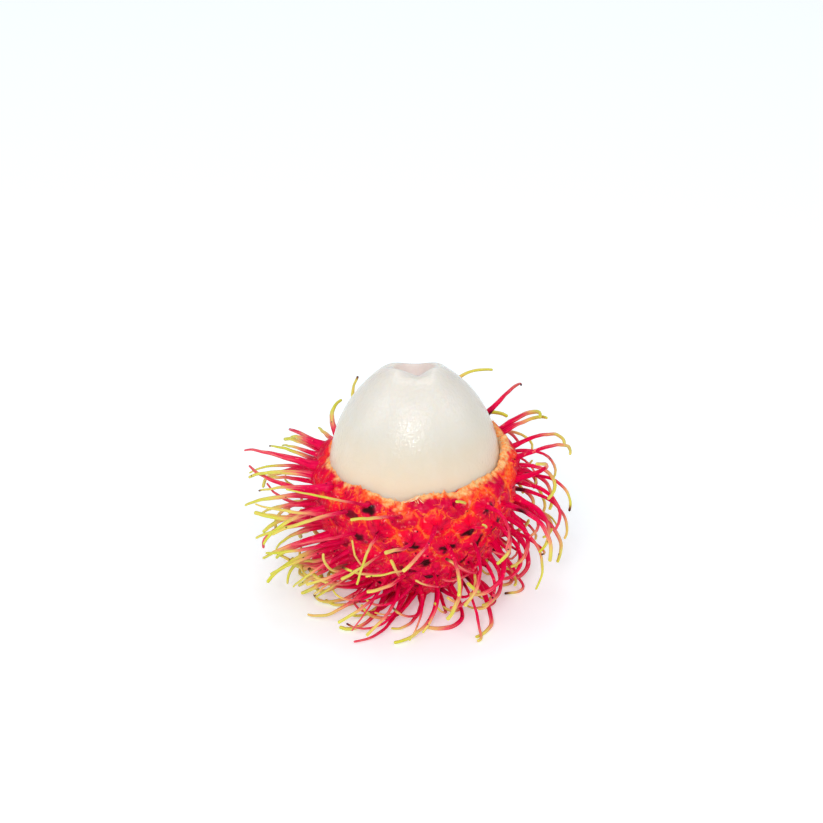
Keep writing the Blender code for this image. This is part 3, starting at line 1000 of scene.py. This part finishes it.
def spine_shape(number, root, size):
    """One spine: a ring sunk in the pad, drawn out ring by ring along its centreline."""
    draw = random.Random(SEED * 9000 + number)
    side = squared_to(Vector((root.y, -root.x, 0)), outward(root))
    side = Matrix.Rotation(draw.uniform(-1, 1) * SPINE_ROLL, 3, outward(root)) @ side
    blunt = draw.uniform(*BLUNTNESS)
    fronted = float(smooth_step(0.5, 0.85, -outward(root).y))
    stations = spine_stations(number, root, size)
    last, tip, tip_along = stations[-1]
    stations += [(last + reach, tip + reach * tip_along, tip_along) for reach, _ in TIP_ROUNDING]
    places, shares = [], []
    for at, centre, along in stations:
        share = min(1.0, max(0.0, at / last))
        side = squared_to(side, along)
        swell = ROOT_SWELL * math.exp(-max(0.0, at - ROOT_SWELL_START) / ROOT_SWELL_FADE)
        lumpy = 1 + LUMPINESS * noise.noise(Vector((number * 3.1, share * 9, 4)))
        width = between(SPINE_WIDTHS, share) * (1 + (blunt - 1) * share) * lumpy + swell
        width += SIDE_BROADENING * sideways(root) * (1 - share) ** 2
        width *= size * (1 - FRONT_SLIMMING * fronted * (1 - share) ** 0.5)
        round_base = math.exp(-at / ROUND_ROOT_FADE) if at > 0 else 1.0
        flat = between(SPINE_FLATNESS, share)
        thickness = width * (flat + (1 - flat) * 0.6 * round_base)
        for reach, share_left in TIP_ROUNDING:
            if at >= last + reach:
                width, thickness = share_left * width, share_left * thickness
        places.append(ring_place(centre, along, side, width, thickness))
        shares.append(share)

    shape = bmesh.new()
    ripe, tint, grain, dark, blush = spine_layers(shape)
    rings = drawn_out(shape, SPINE_SIDES if size == 1 else EXTRA_SIDES, places)
    green_from, green_most = ripeness(number, root)
    shade = draw.random()
    stain_at = draw.uniform(*STAIN_PLACES)
    stained = draw.random() < STAINED_SHARE
    tip_burnt = draw.random() < BURNT_TIP_SHARE
    for ring, place, share in zip(rings, places, shares):
        turned = float(smooth_step(*GREEN_FADE, share - green_from))
        stain = math.exp(-(((share - stain_at) / STAIN_LENGTH) ** 2)) if stained else 0.0
        root_stain = ROOT_STAIN * (0.4 + 0.6 * fronted) * math.exp(-share / ROOT_STAIN_LENGTH)
        stain = max(stain, root_stain)
        burnt = 0.8 * float(smooth_step(0.94, 0.99, share)) if tip_burnt else 0.0
        for vert in ring:
            spoke = 2 * (place.inverted() @ vert.co)
            vert[dark] = max(burnt, stain * max(0.25, spoke.x))
            vert[ripe] = turned * green_most
            vert[tint] = shade
            vert[blush] = 1.0
            vert[grain] = Vector((spoke.x, spoke.y, share * 1.6)) + Vector((number * GRAIN_SHIFT,) * 3)
            vert.co.z = max(vert.co.z, 0.0)
    return shape


def spine_layers(shape):
    numbers, vectors = shape.verts.layers.float, shape.verts.layers.float_vector
    ripe, tint, grain = numbers.new("ripe"), numbers.new("tint"), vectors.new("grain")
    return ripe, tint, grain, numbers.new("dark"), numbers.new("blush")


def gather(shape, single):
    """Adds a small shape to a large one. It is quicker than growing the large one."""
    mesh = bpy.data.meshes.new("single")
    single.to_mesh(mesh)
    single.free()
    shape.from_mesh(mesh)
    bpy.data.meshes.remove(mesh)


def spines():
    # Without a seed of its own, noise_vector would bend the spines by the clock.
    noise.seed_set(SEED)
    shape = bmesh.new()
    spine_layers(shape)
    for number, root, size in PADS:
        if size:
            gather(shape, spine_shape(number, root, size))
    piece = object_from("spines", shape, PEEL)
    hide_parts("rind")


def rind():
    leans = []
    for number, root, size in PADS:
        lean = Vector()
        if size:
            line = spine_centreline(number, root, size)
            lean = line[5] - line[0]
            lean = (lean - lean.dot(outward(root)) * outward(root)).normalized()
        leans.append(lean)
    piece = object_from("rind_cup", rind_shape(), PEEL)
    shape_skin(piece.data, np.array(leans))
    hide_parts("rind")


spines()
rind()

# ---- The torn fibres ---------------------------------------------------------
# Where the peel tore, short wisps of its pale, dry pith stick up along the edge and lie against
# the flesh. At the front a few longer ones hang together as a small tuft, and here and there a
# shred of the skin curls away from the edge.

FIBRE_COUNT = 90
FIBRE_LENGTH = (0.4 * MM, 1.1 * MM)
FIBRE_WIDTH = (0.25 * MM, 0.6 * MM)
FIBRE_SPREAD, FIBRE_LIFT = 0.8, 0.05
FIBRE_SIDES = 5
FIBRE_STEPS = 6
TUFT_ANGLE = math.radians(-89)
TUFT_SPREAD = math.radians(3)
TUFT_COUNT = 7
TUFT_LENGTH = (1.2 * MM, 2.4 * MM)
TUFT_WIDTH = (0.4 * MM, 0.75 * MM)
TUFT_FALL_SPREAD, TUFT_LIFT = 2.2, 0.8
CURL_ANGLES = [math.radians(degrees) for degrees in (-118, -104, -101, -58, 40, 130)]
CURL_LENGTH = (0.9 * MM, 1.6 * MM)
CURL_WIDTH = (0.3 * MM, 0.6 * MM)
CURL_SPREAD, CURL_OFF_SKIN = 2.4, 0.5


def strip_shape(draw, angle, length, width, spread, lift, fallen=True, peel=0):
    """A flat, bent, pointed strip rooted in the torn edge: peel is 1 for skin and 0 for pith."""
    inset = edge_inset(angle) - draw.uniform(0.4, 1.0) * EDGE_WALL
    place = skin_point(angle, rim_height(angle) + tear(angle) - 0.25 * MM, inset)
    out = outward(place)
    around = Vector((-math.sin(angle), math.cos(angle), 0))
    rise = -0.25 * UP if fallen else squared_to(UP, out)
    heading = rise + draw.uniform(-1, 1) * spread * around + lift * out
    bend = draw.uniform(-0.7, 0.7) * around + draw.uniform(-0.2, 0.3) * out
    places = []
    for i in range(FIBRE_STEPS + 1):
        share = i / FIBRE_STEPS
        along = (heading + share * bend).normalized()
        taper = (1 - share) ** 0.7 + 0.06
        side = squared_to(UP if fallen else around, along)
        places.append(ring_place(place, along, side, width * taper, 0.3 * width * taper))
        place = place + length / FIBRE_STEPS * along
    shape = bmesh.new()
    pith, inner, tint, strand = strip_layers(shape)
    shift = Vector((draw.uniform(0, 9), draw.uniform(0, 9), 0))
    pale = draw.random()
    for i, ring in enumerate(drawn_out(shape, FIBRE_SIDES, places)):
        for vert in ring:
            vert[pith] = 1.0 - peel
            vert[inner] = 1.0 if fallen else pale
            vert[tint] = 1.0
            vert[strand] = shift + Vector((0, 0, i / FIBRE_STEPS))
    return shape


def strip_layers(shape):
    numbers, vectors = shape.verts.layers.float, shape.verts.layers.float_vector
    return numbers.new("pith"), numbers.new("inner"), numbers.new("tint"), vectors.new("strand")


def fibres():
    draw = random.Random(SEED + 2)
    shape = bmesh.new()
    strip_layers(shape)
    for _ in range(FIBRE_COUNT):
        length, width = draw.uniform(*FIBRE_LENGTH), draw.uniform(*FIBRE_WIDTH)
        place = (draw.uniform(0, math.tau), length, width, FIBRE_SPREAD, FIBRE_LIFT)
        gather(shape, strip_shape(draw, *place, fallen=False))
    for _ in range(TUFT_COUNT):
        angle = TUFT_ANGLE + draw.uniform(-1, 1) * TUFT_SPREAD
        length, width = draw.uniform(*TUFT_LENGTH), draw.uniform(*TUFT_WIDTH)
        gather(shape, strip_shape(draw, angle, length, width, TUFT_FALL_SPREAD, TUFT_LIFT))
    for angle in CURL_ANGLES:
        length, width = draw.uniform(*CURL_LENGTH), draw.uniform(*CURL_WIDTH)
        strip = strip_shape(draw, angle, length, width, CURL_SPREAD, CURL_OFF_SKIN, peel=1)
        gather(shape, strip)
    piece = object_from("torn_fibres", shape, PEEL)
    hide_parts("rind")


fibres()

# ---- The floor, the light and the camera -------------------------------------
# The fruit stands on a sheet of white card in a white studio. A broad soft lamp lights it from
# the front and above, a small lamp puts the glints on the wet flesh, and softer lamps stand at
# the sides and the back.

FLOOR_SIZE = 3.0
FLOOR_GLOW = 0.27
WORLD_LIGHT = 0.34
LAMP_DISTANCE = 0.9
# Each lamp: its name, power, width, bearing from the front and height over the floor.
LAMPS = (
    ("key", 2.75, 0.70, math.radians(-4), math.radians(44)),
    ("spark", 1.9, 0.19, math.radians(-11), math.radians(35)),
    ("left", 1.35, 0.50, math.radians(-80), math.radians(35)),
    ("right", 1.35, 0.50, math.radians(80), math.radians(35)),
    ("back", 1.6, 0.50, math.radians(180), math.radians(55)),
)
CAMERA_HEIGHT = math.radians(28)
CAMERA_DISTANCE = 0.40
FIELD_WIDTH = 143.6 * MM


def floor():
    shape = bmesh.new()
    bmesh.ops.create_grid(shape, x_segments=1, y_segments=1, size=FLOOR_SIZE / 2)
    finish = Finish("white_card")
    fibre = finish.speckle(finish.place(), 900)
    finish.set(
        Base_Color=(0.80, 0.87, 0.91),
        Roughness=0.8,
        Normal=finish.bump(fibre, 0.00002, 0.3),
        Emission_Color=(1.0, 1.0, 1.0),
        Emission_Strength=FLOOR_GLOW,
    )
    mesh = bpy.data.meshes.new("floor")
    shape.to_mesh(mesh)
    shape.free()
    mesh.materials.append(finish.material)
    sheet = bpy.data.objects.new("floor", mesh)
    bpy.context.scene.collection.objects.link(sheet)


def lamp(name, power, size, bearing, height):
    """A round soft lamp, aimed at the fruit's middle."""
    light = bpy.data.lights.new(name, "AREA")
    light.energy = power
    light.shape = "DISK"
    light.size = size
    stand = bpy.data.objects.new(name, light)
    bpy.context.scene.collection.objects.link(stand)
    towards = Vector(
        (
            math.sin(bearing) * math.cos(height),
            -math.cos(bearing) * math.cos(height),
            math.sin(height),
        )
    )
    stand.location = Vector((0, 0, BODY_CENTRE_Z)) + LAMP_DISTANCE * towards
    stand.rotation_euler = towards.to_track_quat("Z", "Y").to_euler()


def studio():
    world = bpy.data.worlds.new("white_studio")
    world.use_nodes = True
    world.node_tree.nodes["Background"].inputs["Color"].default_value = (1.0, 1.0, 1.0, 1)
    world.node_tree.nodes["Background"].inputs["Strength"].default_value = WORLD_LIGHT
    bpy.context.scene.world = world
    for settings in LAMPS:
        lamp(*settings)
    bpy.context.scene.view_settings.view_transform = "Standard"


def camera():
    """Looks a little down on the front. The fruit sits just below the picture's middle."""
    lens = bpy.data.cameras.new("camera")
    lens.sensor_width = 36
    lens.lens = lens.sensor_width * CAMERA_DISTANCE / FIELD_WIDTH
    lens.clip_start = 0.01
    stand = bpy.data.objects.new("camera", lens)
    bpy.context.scene.collection.objects.link(stand)
    back = Vector((0, -math.cos(CAMERA_HEIGHT), math.sin(CAMERA_HEIGHT)))
    up = Vector((0, math.sin(CAMERA_HEIGHT), math.cos(CAMERA_HEIGHT)))
    aim = Vector((-0.6 * MM, 0, BODY_CENTRE_Z)) + 10.2 * MM * up
    stand.location = aim + CAMERA_DISTANCE * back
    stand.rotation_euler = back.to_track_quat("Z", "Y").to_euler()
    bpy.context.scene.camera = stand


floor()
studio()
camera()
